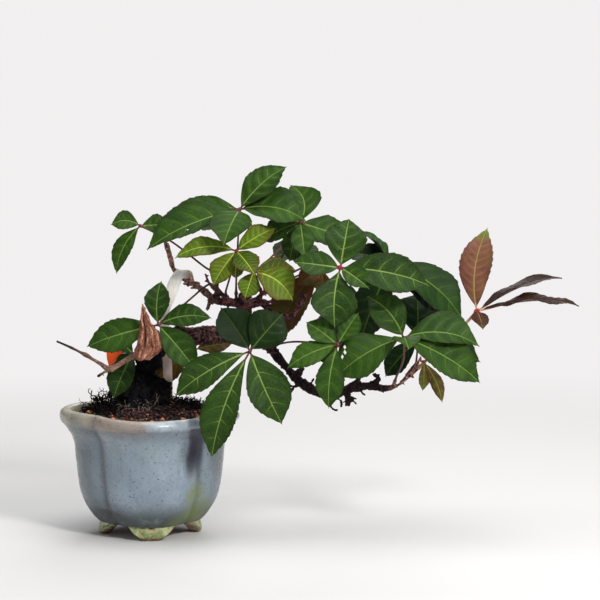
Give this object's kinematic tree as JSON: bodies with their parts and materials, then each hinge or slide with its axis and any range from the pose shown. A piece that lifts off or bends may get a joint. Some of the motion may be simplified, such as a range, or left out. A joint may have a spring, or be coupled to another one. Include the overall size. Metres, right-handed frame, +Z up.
{
  "type": "potted virginia creeper bonsai",
  "caption": "Semi-cascade bonsai of virginia creeper: a gnarled woody vine with palmate leaves, rooted in granular soil in a lobed glazed pot on small feet",
  "frame": {"origin": "on the table, under the middle of the whole plant's bounding box", "axes": "+X along the cascade, from the pot to the tip; +Y to the back, so the viewing side is -Y; +Z up"},
  "size_m": [0.3604, 0.1408, 0.2586],
  "materials": {
    "glaze": "glossy speckled blue-grey glaze",
    "mesh_plastic": "black moulded mesh",
    "soil": "loose fired-clay granules",
    "bark": "rough dark bark",
    "label_plastic": "blank white strip",
    "orange_plastic": "blank orange stake",
    "leaf_green": "waxy dark green blade",
    "leaf_young": "fresh yellow-green blade",
    "leaf_bronze": "bronze-red blade",
    "dry_leaf": "withered brown blade"
  },
  "bodies": {
    "root": {"pot": "glaze", "drainage_mesh": "mesh_plastic", "soil": "soil", "trunk_and_branches": "bark", "plant_label": "label_plastic", "orange_tag": "orange_plastic", "dry_leaf": "dry_leaf", "leaf_low_front": "leaf_green", "leaf_center": "leaf_green", "leaf_low_center": "leaf_green", "leaf_right": "leaf_green", "leaf_back_right": "leaf_green", "leaf_red_tip": "leaf_bronze", "leaf_tiny": "leaf_bronze", "leaf_top": "leaf_green", "leaf_far_left": "leaf_green", "leaf_trunk_front": "leaf_green", "leaf_low_left": "leaf_green", "leaf_young_left": "leaf_young", "leaf_young_mid": "leaf_young", "leaf_crown": "leaf_green", "leaf_maroon": "leaf_bronze", "leaf_olive": "leaf_green", "leaf_behind_right": "leaf_green", "leaf_back_upper": "leaf_green", "leaf_back_low": "leaf_green", "leaf_back_left": "leaf_green"}
  },
  "joints": []
}
